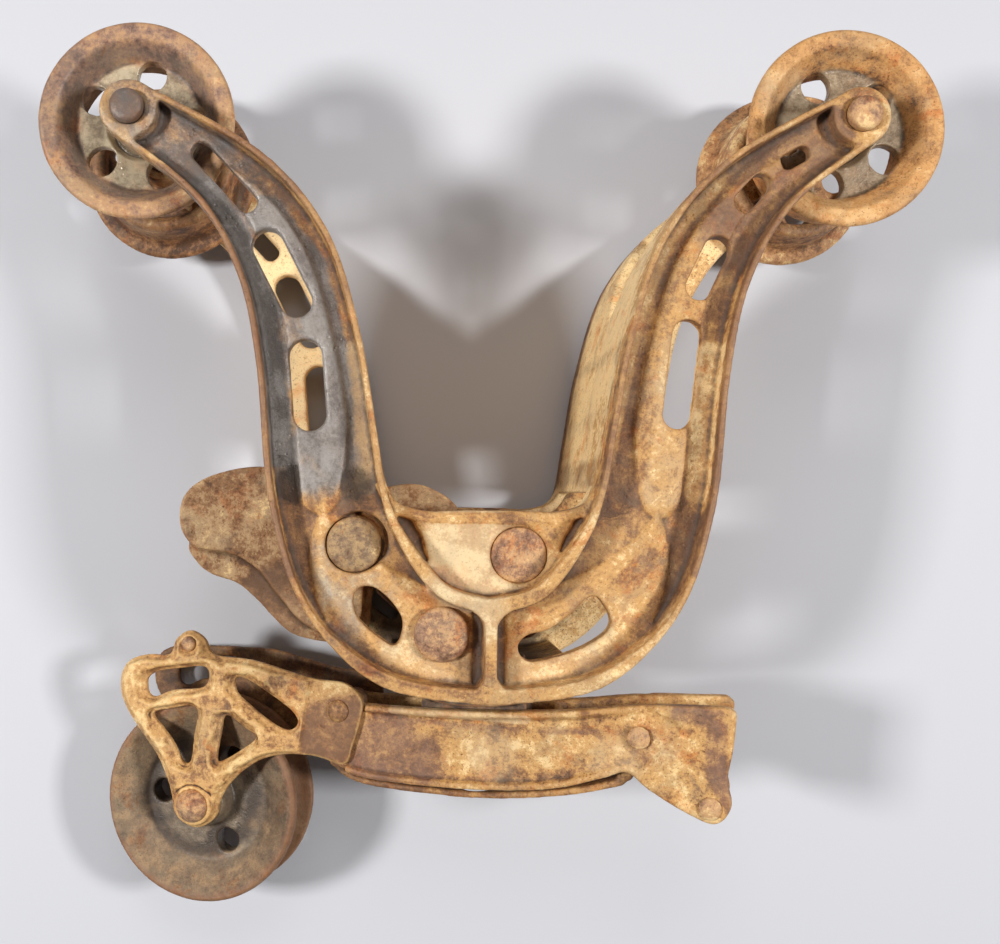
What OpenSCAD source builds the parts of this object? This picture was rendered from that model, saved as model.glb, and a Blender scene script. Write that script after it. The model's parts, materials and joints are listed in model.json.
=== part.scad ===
// Hay trolley: a lyre shaped truck of two iron side castings that runs on four flanged wheels,
// with three levers inside its body and a swivelling rope carriage below it.
// Millimetres. X runs along the track, Y is up in use, Z lies along the wheel axles.
// The origin is on the track line, midway between the axles.
// The trolley lies on its far side, so the swivel hangs over to the floor at its sheave end.

/* [Truck] */
// distance between the two axle lines
axle_span = 375; // [340:1:420]
// depth of the truck below the track line
truck_depth = 260; // [235:1:285]
// distance from the middle plane to the inner face of the side web
web_in = 57; // [55:0.5:63]
// thickness of the side web
web_t = 8; // [6:0.5:10]
// height of the rims above the web's outer face
rim_h = 17; // [12:0.5:20]
// width of the outer and inner rims
rim_w = 3.4; // [2.5:0.1:5]
// width of the rims round the body
body_rim_w = 7.5; // [4:0.5:9]
// height of the raised strip and panels above the web
panel_h = 2.5; // [2:0.5:5]
// thickness of the walls that reach in to the middle plane
wall_t = 7; // [5:0.5:9]
// radius of the boss at each arm end
boss_r = 15; // [13:0.5:18]

/* [Wheels] */
// flange diameter of the track wheels
wheel_d = 104; // [92:1:112]
// tread diameter where the wheel runs on the track
tread_d = 84; // [74:1:88]
// width of a wheel from tread edge to flange face
wheel_w = 37; // [30:1:38]
// free space between opposite wheels for the track hanger
track_gap = 34; // [26:1:36]
// axle stud diameter
axle_d = 16; // [12:0.5:18]
// lightening holes in each wheel
wheel_holes = 5; // [3:1:6]

/* [Levers] */
// diameter of the three lever pins
pin_d = 20; // [14:0.5:22]
// diameter of the lever pin heads
head_d = 29; // [26:0.5:32]
// thickness of the stop catch and of the lever hubs
lever_t = 34; // [28:1:40]
// thickness of the pulley hook
hook_t = 14; // [8:0.5:16]

/* [Swivel] */
// angle by which the swivel leans out of line at rest, in degrees
rest_lean = 15; // [0:0.1:16]
// outer diameter of the hollow swivel stem
stem_d = 38; // [32:0.5:42]
// throat diameter of the stem
throat_d = 17; // [12:0.5:18]
// gap between the truck's underside and the turning shoulder plate
swivel_gap = 4; // [2:0.5:8]
// distance from the middle plane to the outer face of a cheek plate
cheek_out = 20.5; // [19:0.5:24]
// thickness of a cheek plate
cheek_t = 7; // [5:0.5:8]
// height of the edge flange on a cheek plate
cheek_rim_h = 3.5; // [2:0.5:5]
// width of the edge flange on a cheek plate
cheek_rim_w = 4; // [3:0.5:6]
// thickness of the bowed strap under the beam
strap_t = 4; // [3:0.5:7]
// thickness of the lattice bracket
bracket_t = 6.5; // [5:0.5:8]
// width of the ridge bevel on the lattice bars
bar_bevel = 2; // [1:0.25:2.5]

/* [Sheave] */
// outer diameter of the rope sheave
sheave_d = 120; // [104:1:128]
// width of the rope sheave
sheave_w = 38; // [30:1:39]
// diameter of the sheave axle
sheave_axle_d = 16; // [12:0.5:18]

/* [Clearances] */
// radial running clearance of wheels, sheave and levers
run_gap = 0.06; // [0.02:0.01:0.1]
// radial clearance of fixed bolts and pins in their holes
bolt_gap = 0.1; // [0.05:0.05:0.3]
// end clearance between turning pieces
end_gap = 0.4; // [0.3:0.1:1]

/* [Hidden] */
$fn = 72;
curve_steps = 6;

iron = [0.55, 0.42, 0.27];
dark_iron = [0.36, 0.29, 0.24];
rust = [0.62, 0.42, 0.24];

// heights of the truck's layers above the middle plane
web_out = web_in + web_t;
rim_top = web_out + rim_h;
panel_top = web_out + panel_h;
boss_top = web_out + rim_h / 2;
seam_gap = 0.15;

// the truck's outlines keep their shape when the span or the depth changes
half_span = axle_span / 2;
span_f = half_span / 187.5;
depth_f = truck_depth / 260;
axle_y = tread_d / 2;
function truck_point(p) = [p.x * span_f, p.y > 0 ? p.y * axle_y / 42 : p.y * depth_f];
function truck_points(list) = [for (p = list) truck_point(p)];

// smooth curve through a few points, open or closed
function blend(a, b, c, d, t) =
    0.5 * (2 * b + (c - a) * t + (2 * a - 5 * b + 4 * c - d) * t * t
           + (3 * b - a - 3 * c + d) * t * t * t);
function open_curve(p, n = curve_steps) =
    let (m = len(p) - 1)
    concat([for (i = [0:m - 1]) for (k = [0:n - 1])
            blend(p[max(i - 1, 0)], p[i], p[i + 1], p[min(i + 2, m)], k / n)], [p[m]]);
function loop_curve(p, n = curve_steps) =
    let (m = len(p))
    [for (i = [0:m - 1]) for (k = [0:n - 1])
        blend(p[(i + m - 1) % m], p[i], p[(i + 1) % m], p[(i + 2) % m], k / n)];

// a curve moved sideways by d, to the left of its run
function left_of(a, b) = [a.y - b.y, b.x - a.x] / norm(b - a);
function shifted(p, d) =
    let (m = len(p) - 1)
    [for (i = [0:m]) p[i] + d * left_of(p[max(i - 1, 0)], p[min(i + 1, m)])];
function shifted_loop(p, d) =
    let (m = len(p))
    [for (i = [0:m - 1]) p[i] + d * left_of(p[(i + m - 1) % m], p[(i + 1) % m])];
function backwards(p) = [for (i = [len(p) - 1:-1:0]) p[i]];
function both_sides(p) =
    concat(p, [for (i = [len(p) - 2:-1:0]) [-p[i].x, p[i].y]]);

// outline of one half of the truck, from the arm end down to the middle
outer_half = open_curve(truck_points([[196.4, 30], [153, -4], [130, -44], [120, -90],
                                      [113, -158], [95, -212], [56, -250.5], [0, -260]]));
inner_half = open_curve(truck_points([[180.8, 55], [120, 20], [85, -20], [68, -70],
                                      [59, -120], [52, -152], [38, -161.5], [0, -163]]));
rim_half = open_curve(truck_points([[180.8, 55], [120, 20], [85, -20], [68, -70],
                                    [59, -120], [54, -150], [45, -172], [23, -199],
                                    [0, -206]]));
outer_curve = both_sides(outer_half);
inner_curve = both_sides(inner_half);
rim_curve = both_sides(rim_half);
axle_at = [half_span, axle_y];
bottom_y = outer_half[len(outer_half) - 1].y;
saddle_y = inner_half[len(inner_half) - 1].y;

// lever pins
catch_at = truck_point([-70, -180]);
hook_at = truck_point([15, -184.5]);
trip_at = truck_point([-24.5, -225.5]);
lever_half = lever_t / 2;
hub_face = lever_half + end_gap;
pin_r = pin_d / 2;
head_r = head_d / 2;

// wheels
wheel_in = track_gap / 2;
wheel_out = wheel_in + wheel_w;
wheel_r = wheel_d / 2;
tread_r = tread_d / 2;
axle_r = axle_d / 2;
flange_t = 6;
washer_t = 3;

// swivel heights
bottom_wall = 8;
collar_h = 7;
collar_r = stem_d / 2 + 8;
seat_y = bottom_y + bottom_wall;
shoulder_y = bottom_y - swivel_gap;
shoulder_t = 6;
shoulder_r = stem_d / 2 + 11;
beam_top = shoulder_y - shoulder_t - 3;
cheek_in = cheek_out - cheek_t;
function beam_point(p) = [p.x, beam_top + 273 + p.y];
function beam_points(list) = [for (p = list) beam_point(p)];
hub_at = beam_point([-163.5, -337.5]);
bolt_at = beam_point([-76, -277.5]);
lug_at = beam_point([-167.5, -243]);
rivet_at = beam_point([91.5, -282.5]);
becket_at = beam_point([128.5, -317.5]);
bracket_out = cheek_out + bracket_t;
pad_top = bracket_out - 2;
bolt_r = 4.5;
rivet_r = 4;

// pieces that turn with the swivel are built in line and then leaned out
module leaned() {
    rotate([0, -rest_lean, 0]) children();
}

module plate(z0, z1) {
    translate([0, 0, z0]) linear_extrude(z1 - z0) children();
}

module band(curve, d0, d1) {
    polygon(concat(shifted(curve, d0), backwards(shifted(curve, d1))));
}

module slot(a, b, r) {
    along = b - a;
    turn = atan2(along.y, along.x);
    flat = r - 0.1;
    translate(a) circle(r);
    translate(b) circle(r);
    translate(a) rotate(turn) translate([0, -flat]) square([norm(along), 2 * flat]);
}

module arm_ends() {
    for (s = [-1, 1]) translate([s * axle_at.x, axle_at.y]) circle(boss_r);
}

module truck_outline() {
    polygon(concat(outer_curve, backwards(inner_curve)));
    arm_ends();
}

// windows through the web: arm slots, and a kidney shaped sight hole on either side of the rib
module web_windows() {
    slot(truck_point([-151, 22]), truck_point([-127, -4]), 5.2);
    slot(truck_point([-116, -26]), truck_point([-101, -55]), 8.2);
    slot(truck_point([-96, -83]), truck_point([-93.5, -113]), 8.6);
    slot(truck_point([152, 20]), truck_point([160, 24.5]), 4);
    slot(truck_point([130, -1]), truck_point([138, 8]), 5.5);
    slot(truck_point([116, -26]), truck_point([107, -45]), 7);
    slot(truck_point([101, -70]), truck_point([96.5, -111]), 7.8);
    polygon(loop_curve(truck_points([[-69, -204], [-59.5, -202], [-49, -211], [-44.5, -220],
                                     [-47, -231], [-53, -230], [-68, -217]])));
    polygon(loop_curve(truck_points([[15, -232], [20, -239], [34, -237], [52, -230], [63, -220],
                                     [58, -208], [52, -205.5], [43, -214], [31, -223],
                                     [20, -226]])));
}

// raised strip along each arm, tapering to a round foot
module arm_strip() {
    strip_in = 14;
    strip_out = 16.4;
    foot_r = 10;
    intersection() {
        polygon(concat(shifted(outer_half, -strip_out),
                       backwards(shifted(inner_half, strip_in))));
        translate([0, -118 * depth_f]) square([half_span - 38, 118 * depth_f + axle_y]);
    }
    polygon(truck_points([[73.3, -117.5], [101, -117.5], [99.6, -138], [97.8, -155.5], [77.8, -155.5],
                          [75.2, -138]]));
    translate(truck_point([87.8, -153.8])) circle(foot_r);
}

// shield shaped body panel beside the middle rib
module body_panel() {
    polygon(concat(
        open_curve(truck_points([[86.5, -162], [92, -181], [90, -203], [78, -228], [58, -243],
                                 [33, -252], [9, -255]])),
        open_curve(truck_points([[9, -209], [30, -203], [50, -193], [66, -184], [77, -174],
                                 [86.5, -162]]))));
}

module saddle_panel() {
    polygon(loop_curve(truck_points([[-34, -163], [-34.5, -177], [-29.5, -191], [-19, -203],
                                     [0, -207.5], [19, -203], [31, -191], [37.5, -177],
                                     [37, -163]])));
}

// rims, thin along the arms and broad round the body
function eased(y, y0, y1) =
    let (t = min(max((y - y0) / (y1 - y0), 0), 1)) t * t * (3 - 2 * t);
function rim_foot(p, side, y0, y1) =
    let (m = len(p) - 1)
    [for (i = [0:m])
        p[i] + side * (rim_w + (body_rim_w - rim_w) * eased(p[i].y, y0 * depth_f, y1 * depth_f))
               * left_of(p[max(i - 1, 0)], p[min(i + 1, m)])];

// rib down the middle, with splayed ends
module middle_rib() {
    half = 3.2;
    flare = 8;
    low = bottom_y + body_rim_w;
    high = rim_curve[(len(rim_curve) - 1) / 2].y - body_rim_w;
    polygon(concat(
        [[half + flare, low - 2], [half + 0.4 * flare, low + 0.15 * flare], [half, low + 0.7 * flare]],
        [[half, high - 0.7 * flare], [half + 0.4 * flare, high - 0.15 * flare], [half + flare, high + 2]],
        [[-half - flare, high + 2], [-half - 0.4 * flare, high - 0.15 * flare], [-half, high - 0.7 * flare]],
        [[-half, low + 0.7 * flare], [-half - 0.4 * flare, low + 0.15 * flare], [-half - flare, low - 2]]));
}

module rims() {
    polygon(concat(outer_curve, backwards(rim_foot(outer_curve, -1, -215, -255))));
    polygon(concat(rim_curve, backwards(rim_foot(rim_curve, 1, -150, -204))));
    middle_rib();
}

// cut that brings the rims down towards the arm ends
module rim_taper() {
    taper_from = 0.5 * half_span;
    fall = atan2(rim_top - boss_top, half_span - taper_from);
    for (s = [0, 1]) mirror([s, 0, 0])
        translate([taper_from, -truck_depth, rim_top]) rotate([0, fall, 0])
            cube([half_span, 2 * truck_depth, 3 * rim_h]);
}

// wall along the inner edge of the arms, closing in to the middle plane lower down
module inner_wall() {
    wall_top = 4;
    wall_full = -58 * depth_f;
    lean = atan2(wall_top - wall_full, web_in);
    difference() {
        intersection() {
            plate(seam_gap, web_in) band(rim_curve, 0, wall_t);
            translate([-half_span, -152 * depth_f, 0])
                cube([axle_span, 152 * depth_f + wall_top, web_in]);
        }
        translate([-half_span, wall_full, 0]) rotate([90 - lean, 0, 0])
            translate([0, 0, -2 * web_in]) cube([axle_span, truck_depth, 2 * web_in]);
    }
}

// floor of the body with the half bearing for the swivel stem
module bottom_bearing() {
    seat_r = collar_r + 1;
    difference() {
        union() {
            intersection() {
                plate(seam_gap, web_in) band(outer_curve, 0, -bottom_wall - 1);
                translate([-50 * span_f, bottom_y - 1, 0]) cube([100 * span_f, 40, web_in]);
            }
            intersection() {
                translate([0, bottom_y + 0.4, 0]) rotate([-90, 0, 0])
                    cylinder(r = collar_r + 6, h = bottom_wall - 0.4);
                translate([-60, bottom_y, seam_gap]) cube([120, 40, web_in]);
            }
        }
        translate([0, seat_y, 0]) rotate([-90, 0, 0]) cylinder(r = seat_r, h = 30);
        translate([0, bottom_y - 2, 0]) rotate([-90, 0, 0])
            cylinder(r = stem_d / 2 + run_gap, h = 40);
    }
}

module pin_holes() {
    for (at = [catch_at, hook_at, trip_at])
        translate([at.x, at.y, -1]) cylinder(r = pin_r + bolt_gap, h = 2 * rim_top);
}

module side_frame() {
    lip_in = web_in - 7;
    hollow_r = boss_r + 6;
    hollow_h = 1.5;
    difference() {
        union() {
            plate(web_in, web_out) difference() {
                truck_outline();
                web_windows();
            }
            plate(web_out, panel_top) difference() {
                for (s = [0, 1]) mirror([s, 0]) {
                    arm_strip();
                    body_panel();
                }
                web_windows();
            }
            plate(web_out, panel_top + 1) saddle_panel();
            plate(lip_in, panel_top + 2.5) intersection() {
                band(inner_curve, 0, 5.5);
                translate([-60 * span_f, saddle_y - 12]) square([120 * span_f, 26]);
            }
            difference() {
                plate(web_out, rim_top) rims();
                rim_taper();
            }
            plate(web_in, boss_top) arm_ends();
            inner_wall();
            bottom_bearing();
            for (at = [catch_at, hook_at, trip_at])
                translate([at.x, at.y, hub_face])
                    cylinder(r = pin_r + 6, h = web_in - hub_face + 1);
        }
        pin_holes();
        for (s = [-1, 1])
            translate([s * axle_at.x, axle_at.y, web_in - 1])
                cylinder(r = axle_r + bolt_gap, h = rim_top);
        // shallow hollow round each arm end
        plate(web_out - hollow_h, web_out + 1) difference() {
            for (s = [-1, 1]) translate([s * axle_at.x, axle_at.y]) circle(hollow_r);
            arm_ends();
            rims();
        }
        // seat of the catch pin's head, worn through on its upper right
        translate([catch_at.x, catch_at.y, web_out - 3]) cylinder(r = head_r + 0.4, h = rim_h);
        difference() {
            translate([catch_at.x + 2.4, catch_at.y + 1.6, web_in - 1])
                cylinder(r = head_r + 0.8, h = 2 * rim_h);
            translate([catch_at.x, catch_at.y, web_in - 2])
                cylinder(r = head_r + 0.4, h = 3 * rim_h);
        }
        // countersunk seat of the hook pin
        translate([hook_at.x, hook_at.y, panel_top - 3])
            cylinder(r = head_r + bolt_gap, h = rim_h);
        // way for the catch's nose between the castings
        translate([-80 * span_f, -180 * depth_f, -1])
            cube([46 * span_f, 54 * depth_f, lever_half + 3]);
    }
}

module near_side_frame() {
    color(iron) side_frame();
}

module far_side_frame() {
    color(iron) mirror([0, 0, 1]) side_frame();
}

// a pin through both castings with a head at either end
module lever_pin(at, seat, crown) {
    dome_r = (head_r * head_r + crown * crown) / (2 * crown);
    translate([at.x, at.y, 0]) {
        cylinder(r = pin_r, h = 2 * seat, center = true);
        for (s = [0, 1]) mirror([0, 0, s]) translate([0, 0, seat]) intersection() {
            cylinder(r = head_r, h = 4 + crown);
            translate([0, 0, 4 + crown - dome_r]) sphere(dome_r);
        }
    }
}

module catch_pin() {
    color(dark_iron) lever_pin(catch_at, web_out - 3, 3);
}

module hook_pin() {
    color(iron) lever_pin(hook_at, panel_top - 3, 1);
}

module trip_pin() {
    color(dark_iron) lever_pin(trip_at, panel_top, 3.5);
}

// four studs, each held in an arm end and carrying one wheel
module axle_stud() {
    stud_head_r = axle_r + 1;
    stud_in = wheel_in - end_gap - washer_t - 2;
    translate([0, 0, stud_in]) cylinder(r = axle_r, h = boss_top - stud_in);
    translate([0, 0, boss_top]) cylinder(r = stud_head_r, h = 4);
    translate([0, 0, boss_top + 4]) cylinder(r1 = stud_head_r, r2 = stud_head_r - 2, h = 1.5);
}

module at_axles() {
    for (far = [0, 1], s = [-1, 1])
        mirror([0, 0, far]) translate([s * axle_at.x, axle_at.y, 0]) children();
}

module axle_studs() {
    color(dark_iron) at_axles() axle_stud();
}

module axle_washers() {
    color(dark_iron) at_axles() translate([0, 0, wheel_in - end_gap - washer_t]) difference() {
        cylinder(r = axle_r + 5, h = washer_t);
        translate([0, 0, -1]) cylinder(r = axle_r + bolt_gap, h = washer_t + 2);
    }
}

// flanged track wheel with a dished face, a drilled web and a hub
module track_wheel(turn) {
    hub_r = axle_r + 6;
    dish_r = tread_r * 0.8;
    web_z = wheel_in + 12;
    web_w = 7;
    hole_at = (hub_r + dish_r) / 2 + 2;
    hole_r = 7;
    difference() {
        rotate_extrude() polygon(concat([
            [axle_r + run_gap, wheel_in], [hub_r, wheel_in], [hub_r, web_z], [dish_r, web_z],
            [dish_r, wheel_in + 3], [tread_r - 5, wheel_in], [tread_r - 2, wheel_in],
            [tread_r, wheel_in + 2], [tread_r + 1, wheel_out - flange_t - 3],
            [tread_r + 4, wheel_out - flange_t], [wheel_r - 2, wheel_out - flange_t],
            [wheel_r, wheel_out - flange_t + 2], [wheel_r, wheel_out - 2]], open_curve([
            [wheel_r - 1.5, wheel_out], [wheel_r - 5, wheel_out - 0.3], [wheel_r - 10, wheel_out - 2.6],
            [tread_r - 4, wheel_out - 8], [dish_r + 0.8, web_z + web_w + 5], [dish_r - 2, web_z + web_w]]), [
            [hub_r, web_z + web_w], [hub_r, web_in - end_gap], [axle_r + run_gap, web_in - end_gap]]));
        for (k = [0:wheel_holes - 1]) rotate(turn + k * 360 / wheel_holes)
            translate([hole_at, 0, web_z - 1]) cylinder(r = hole_r, h = web_w + 2);
    }
}

module placed_wheel(side, far, turn) {
    color(rust) mirror([0, 0, far]) translate([side * axle_at.x, axle_at.y, 0]) track_wheel(turn);
}

module wheel_near_left() {
    placed_wheel(-1, 0, 6);
}

module wheel_near_right() {
    placed_wheel(1, 0, 44);
}

module wheel_far_left() {
    placed_wheel(-1, 1, 20);
}

module wheel_far_right() {
    placed_wheel(1, 1, 60);
}

// rocker with a nose over the saddle, a weighted lobe outside the truck and a lower arm
module stop_catch() {
    flange_half = lever_half * 0.55;
    nose_half = lever_half * 0.8;
    color(rust) difference() {
        union() {
            plate(-lever_half, lever_half) {
                polygon(loop_curve(truck_points([[-68, -161], [-98, -146], [-125, -139],
                                                 [-148, -143], [-161, -149.5], [-168, -158],
                                                 [-169.5, -169], [-166, -179], [-159, -185],
                                                 [-138, -189], [-125, -197], [-113, -212],
                                                 [-99, -227], [-84, -232], [-68, -226],
                                                 [-65, -206]])));
                translate(catch_at) circle(pin_r + 7);
            }
            plate(-nose_half, nose_half)
                polygon(loop_curve(truck_points([[-62, -154], [-40, -147.5], [-24, -152],
                                                 [-13, -161.5], [-20, -167], [-38, -167],
                                                 [-56, -190], [-74, -176]])));
            plate(-flange_half, flange_half)
                polygon(loop_curve(truck_points([[-164, -182], [-160, -194], [-151, -200.5],
                                                 [-138, -205], [-125.5, -215], [-114.5, -227],
                                                 [-103, -235], [-82, -238], [-64, -232],
                                                 [-61, -214], [-61, -196], [-84, -178],
                                                 [-130, -176]])));
        }
        translate([catch_at.x, catch_at.y, -lever_t]) cylinder(r = pin_r + run_gap, h = 2 * lever_t);
    }
}

// bell crank: its upper arm bears on the catch, its forked arm lies over the stem's throat
module trip_lever() {
    prong_in = hook_t / 2 + 1.5;
    color(dark_iron) difference() {
        union() {
            translate([trip_at.x, trip_at.y, -lever_half]) cylinder(r = pin_r + 4, h = lever_t);
            plate(-lever_half, lever_half)
                polygon(loop_curve(truck_points([[-24, -220], [-49, -202], [-55.2, -202],
                                                 [-58.6, -206.5], [-55, -212], [-30, -231]])));
            plate(-lever_half, lever_half)
                polygon(loop_curve(truck_points([[-20, -215], [-2, -218], [11, -222], [12.5, -228],
                                                 [6, -232], [-20, -236]])));
        }
        translate([trip_at.x + pin_r + 5, trip_at.y - 30, -prong_in])
            cube([60, 60, 2 * prong_in]);
        translate([trip_at.x, trip_at.y, -lever_t]) cylinder(r = pin_r + run_gap, h = 2 * lever_t);
    }
}

// hook that hangs over the throat and holds the head of the load's pulley
module pulley_hook() {
    color(dark_iron) difference() {
        union() {
            translate([hook_at.x, hook_at.y, -lever_half]) cylinder(r = pin_r + 5, h = lever_t);
            plate(-hook_t / 2, hook_t / 2)
                polygon(loop_curve(truck_points([[4, -190], [26, -188], [36, -208], [37, -224],
                                                 [30, -234], [17, -235], [11, -231], [14, -227],
                                                 [23, -226], [26, -219], [20, -205]])));
        }
        translate([hook_at.x, hook_at.y, -lever_t]) cylinder(r = pin_r + run_gap, h = 2 * lever_t);
    }
}

// hollow stem: collar inside the truck, shoulder plate under it, block between the cheeks
module swivel_stem() {
    stem_r = stem_d / 2;
    throat_r = throat_d / 2;
    block_half = 30;
    block_low = beam_point([0, -316.5]).y;
    color(dark_iron) leaned() difference() {
        union() {
            rotate([-90, 0, 0]) {
                translate([0, 0, shoulder_y - 1]) cylinder(r = stem_r, h = seat_y - shoulder_y + 2);
                translate([0, 0, seat_y + end_gap]) cylinder(r = collar_r, h = collar_h);
                translate([0, 0, shoulder_y - shoulder_t]) cylinder(r = shoulder_r, h = shoulder_t);
            }
            translate([-block_half, block_low, -cheek_in])
                cube([2 * block_half, shoulder_y - shoulder_t - block_low + 1, 2 * cheek_in]);
        }
        translate([0, block_low - 1, 0]) rotate([-90, 0, 0]) {
            cylinder(r = throat_r, h = 120);
            cylinder(r1 = throat_r + 2, r2 = throat_r, h = 12);
        }
    }
}

// outline of a cheek plate: bowed beam with a fishtail end for the rope's dead end
function cheek_curve() = concat(
    open_curve(beam_points([[-95, -270], [-59, -273.5], [0, -273.5], [51, -270.5], [94, -265.2],
                            [138, -263.8]])),
    open_curve(beam_points([[141.8, -267], [140, -286.5], [137.3, -302], [139.5, -316],
                            [131, -326], [115, -320.5], [97, -310.5], [85, -302], [72, -306],
                            [42, -314], [-2, -317.2], [-58, -315.5], [-80, -308.5],
                            [-96, -297]])));

module cheek_plate() {
    outline = cheek_curve();
    flange_from = bolt_at.x + 4;
    flange_to = 92;
    fall = atan2(cheek_rim_h - 1.5, 34);
    difference() {
        union() {
            plate(cheek_in, cheek_out) polygon(outline);
            difference() {
                plate(cheek_out, cheek_out + cheek_rim_h) intersection() {
                    difference() {
                        polygon(outline);
                        polygon(shifted_loop(outline, -cheek_rim_w));
                        polygon(shifted_loop(bracket_curve(), 0.6));
                    }
                    translate([flange_from, beam_top - 60]) square([flange_to - flange_from, 90]);
                }
                translate([flange_to - 34, beam_top - 100, cheek_out + cheek_rim_h])
                    rotate([0, fall, 0]) cube([60, 200, 20]);
            }
            plate(cheek_out, cheek_out + 2)
                polygon(concat([for (p = outline) if (p.x > 88) p],
                               beam_points([[93, -300], [115, -276]])));
        }
        for (at = [bolt_at, rivet_at, becket_at])
            translate([at.x, at.y, 0]) cylinder(r = bolt_r + bolt_gap, h = 60);
    }
}

module near_cheek() {
    color(iron) leaned() cheek_plate();
}

module far_cheek() {
    color(iron) leaned() mirror([0, 0, 1]) cheek_plate();
}

// bowed strap under the beam that guides the load's pulley into the throat
module mouth_guide() {
    guide_half = cheek_in - end_gap;
    low = open_curve(beam_points([[-80, -315], [-60, -322], [0, -324.5], [50, -319.5], [84, -311]]));
    color(dark_iron) leaned() difference() {
        union() {
            plate(-guide_half, guide_half) band(low, 0, strap_t);
            for (p = [low[0], low[len(low) - 1]])
                plate(-cheek_in, cheek_in) translate(p + [0, 7]) circle(5);
        }
        translate([0, beam_point([0, -340]).y, 0]) rotate([-90, 0, 0])
            cylinder(r = throat_d / 2 + 0.5, h = 40);
    }
}

// bolt or rivet across the swivel with a rounded head at either end
module cross_pin(at, r, half, big_r, crown) {
    dome_r = (big_r * big_r + crown * crown) / (2 * crown);
    translate([at.x, at.y, 0]) {
        cylinder(r = r, h = 2 * half, center = true);
        for (s = [0, 1]) mirror([0, 0, s]) translate([0, 0, half]) intersection() {
            cylinder(r = big_r, h = crown + 1);
            translate([0, 0, crown - dome_r + 0.5]) sphere(dome_r);
        }
    }
}

module spacer(at, r, half) {
    translate([at.x, at.y, 0]) cylinder(r = r, h = 2 * half, center = true);
}

module cheek_rivet() {
    color(dark_iron) leaned() {
        cross_pin(rivet_at, bolt_r, cheek_out + 2, 6.5, 2);
        spacer(rivet_at, 7, cheek_in);
    }
}

module becket_pin() {
    color(dark_iron) leaned() {
        cross_pin(becket_at, bolt_r, cheek_out + 2, 6.5, 2.5);
        spacer(becket_at, 6, cheek_in);
    }
}

module bracket_bolt() {
    color(dark_iron) leaned() {
        cross_pin(bolt_at, bolt_r, pad_top, 6.8, 3);
        spacer(bolt_at, 8, cheek_in);
    }
}

// rivet in the lug of the near bracket only
module lug_rivet() {
    head_h = 2;
    head = rivet_r + 1;
    color(dark_iron) leaned() translate([lug_at.x, lug_at.y, cheek_out]) {
        translate([0, 0, -head_h]) cylinder(r = head, h = head_h);
        translate([0, 0, -head_h / 2]) cylinder(r = rivet_r, h = bracket_t + head_h);
        translate([0, 0, bracket_t]) cylinder(r1 = head, r2 = head - 1.2, h = head_h);
    }
}

module sheave_axle() {
    color(dark_iron) leaned()
        cross_pin(hub_at, sheave_axle_d / 2, bracket_out + 2, 10, 6);
}

// open lattice bracket: one outline, four windows, and bars with bevelled ridges
function bracket_curve() = loop_curve(beam_points([
    [-181, -250], [-177, -241], [-168, -235.2], [-158.5, -240], [-152.5, -249], [-129, -251],
    [-104.5, -257], [-88, -260.2], [-72, -261.5], [-62, -270], [-62.4, -281], [-67, -297],
    [-72, -308], [-90, -304.5], [-109, -305], [-124, -309.5], [-138, -320], [-147, -332.5],
    [-151, -345], [-163, -351.8], [-176, -345], [-179.5, -330], [-188, -311], [-201, -294.5],
    [-210, -281], [-213, -268], [-208.5, -256], [-196, -250.8]]), 4);

function bracket_windows() = [
    loop_curve(beam_points([[-157.3, -256.8], [-175, -258.4], [-189.5, -261], [-195.5, -266],
                            [-194.5, -274], [-189.5, -275.6], [-178.8, -271.2],
                            [-158.3, -268]]), 4),
    loop_curve(beam_points([[-163.2, -280.6], [-180, -282.4], [-191.4, -285.8], [-185.8, -293],
                            [-177.8, -302.6], [-171.8, -313.2], [-166.6, -312.2],
                            [-164.7, -297]]), 4),
    loop_curve(beam_points([[-144.6, -284], [-148, -296], [-150.2, -310.4], [-146.6, -310.8],
                            [-134.4, -303.4], [-125.4, -295.6], [-131.5, -291.6]]), 4),
    loop_curve(beam_points([[-138.6, -261.8], [-138.6, -269.6], [-131.2, -276.6], [-117, -286.6],
                            [-106.2, -290.6], [-100.2, -286], [-103.8, -279.4], [-116.9, -270.6],
                            [-131, -262.8]]), 4)];

module lattice(inset) {
    difference() {
        polygon(shifted_loop(bracket_curve(), inset));
        for (w = bracket_windows()) polygon(shifted_loop(w, inset));
    }
}

module lattice_bracket(eared) {
    hub_r = sheave_axle_d / 2 + 4;
    difference() {
        union() {
            plate(cheek_out, bracket_out - bar_bevel) lattice(0);
            plate(bracket_out - bar_bevel, bracket_out) lattice(-bar_bevel);
            plate(cheek_out, bracket_out + 2) translate(hub_at) circle(hub_r);
        }
        translate([hub_at.x, hub_at.y, 0]) cylinder(r = sheave_axle_d / 2 + bolt_gap, h = 60);
        translate([bolt_at.x, bolt_at.y, 0]) cylinder(r = bolt_r + bolt_gap, h = 60);
        translate([lug_at.x, lug_at.y, 0]) cylinder(r = rivet_r + bolt_gap, h = 60);
        // lower pad round the bolt
        plate(pad_top, bracket_out + 1)
            polygon(beam_points([[-91, -250], [-40, -250], [-40, -315], [-101, -315]]));
        if (!eared)
            plate(cheek_out - 1, bracket_out + 1)
                polygon(beam_points([[-190, -250.6], [-146, -250.2], [-146, -225], [-190, -225]]));
    }
}

module near_bracket() {
    color(iron) leaned() lattice_bracket(true);
}

module far_bracket() {
    color(iron) leaned() mirror([0, 0, 1]) lattice_bracket(false);
}

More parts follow.
